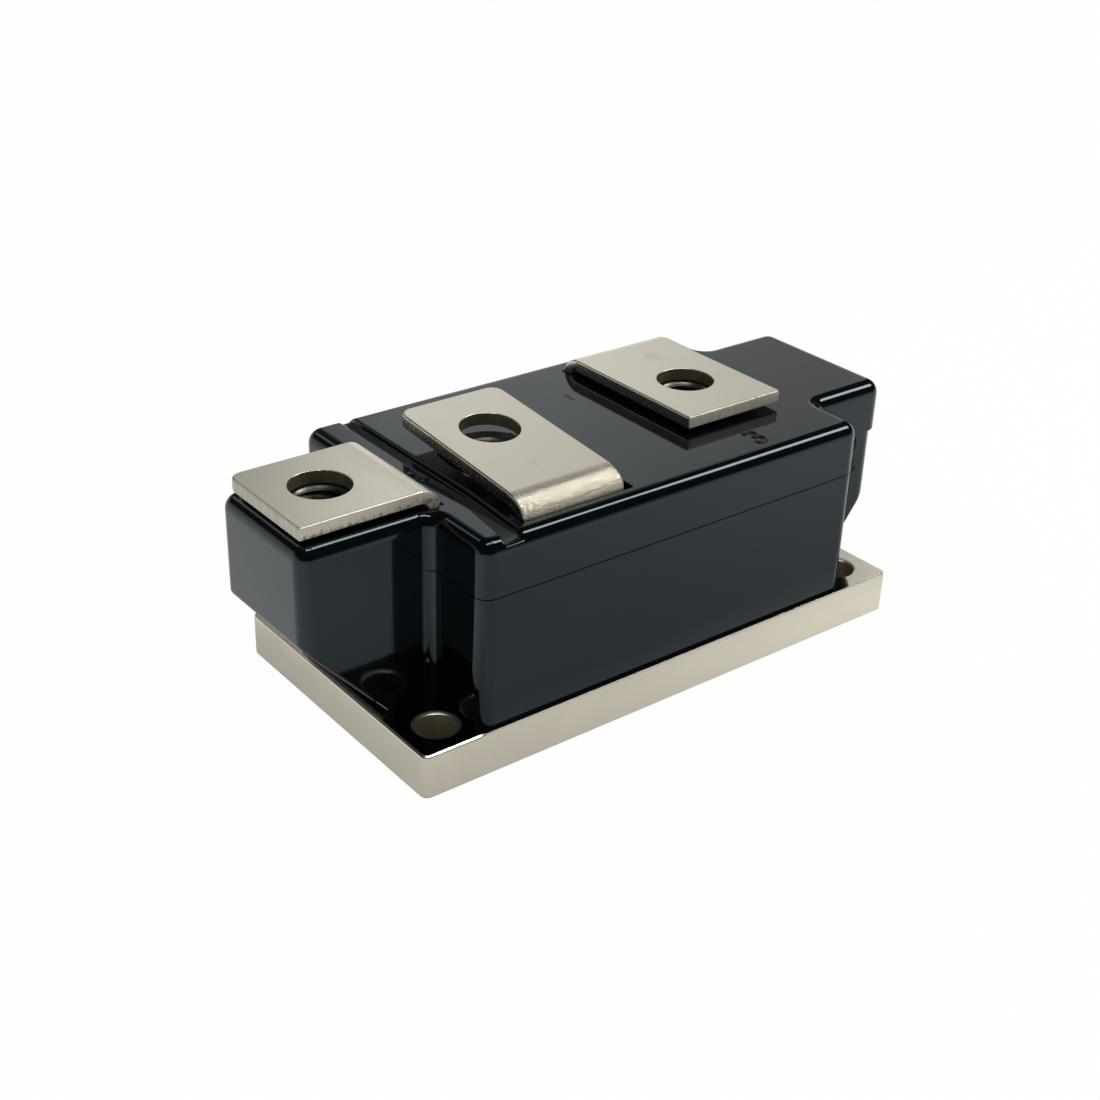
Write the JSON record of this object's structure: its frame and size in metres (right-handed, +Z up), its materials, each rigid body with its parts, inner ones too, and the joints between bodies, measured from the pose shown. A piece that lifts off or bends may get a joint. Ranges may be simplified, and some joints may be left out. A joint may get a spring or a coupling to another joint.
{
  "type": "thyristor module",
  "caption": "Black moulded power thyristor module on a nickel-plated base plate, with bent bar terminals over captive nuts and control tabs in end pockets.",
  "frame": {"origin": "centre of the base plate's underside", "axes": "+X along the module, away from the first terminal's block; +Y across, away from the second terminal's leg; +Z up, out of the base plate"},
  "size_m": [0.1082, 0.048, 0.0412],
  "materials": {
    "base": "nickel-plated copper, satin",
    "housing": "high-gloss moulded",
    "terminal": "nickel-plated copper, satin",
    "nut": "zinc-plated",
    "ceramic": "matt ceramic",
    "copper": "bright copper",
    "disc": "ground molybdenum",
    "chip": "polished silicon",
    "tab": "tinned brass",
    "lead": "insulated wire"
  },
  "bodies": {
    "root": {"base_plate": "base", "housing_frame": "housing", "housing_cover": "housing", "terminal_1": "terminal", "terminal_2": "terminal", "terminal_3": "terminal", "nut_1": "nut", "nut_2": "nut", "nut_3": "nut", "ceramic_1": "ceramic", "ceramic_2": "ceramic", "copper_pad_1": "copper", "copper_pad_2": "copper", "lower_disc_1": "disc", "lower_disc_2": "disc", "chip_1": "chip", "chip_2": "chip", "upper_disc_1": "disc", "upper_disc_2": "disc", "cathode_link": "copper", "gate_tab_1": "tab", "cathode_tab_1": "tab", "gate_tab_2": "tab", "cathode_tab_2": "tab", "gate_lead_1": "lead", "cathode_lead_1": "lead", "gate_lead_2": "lead", "cathode_lead_2": "lead"}
  },
  "joints": []
}
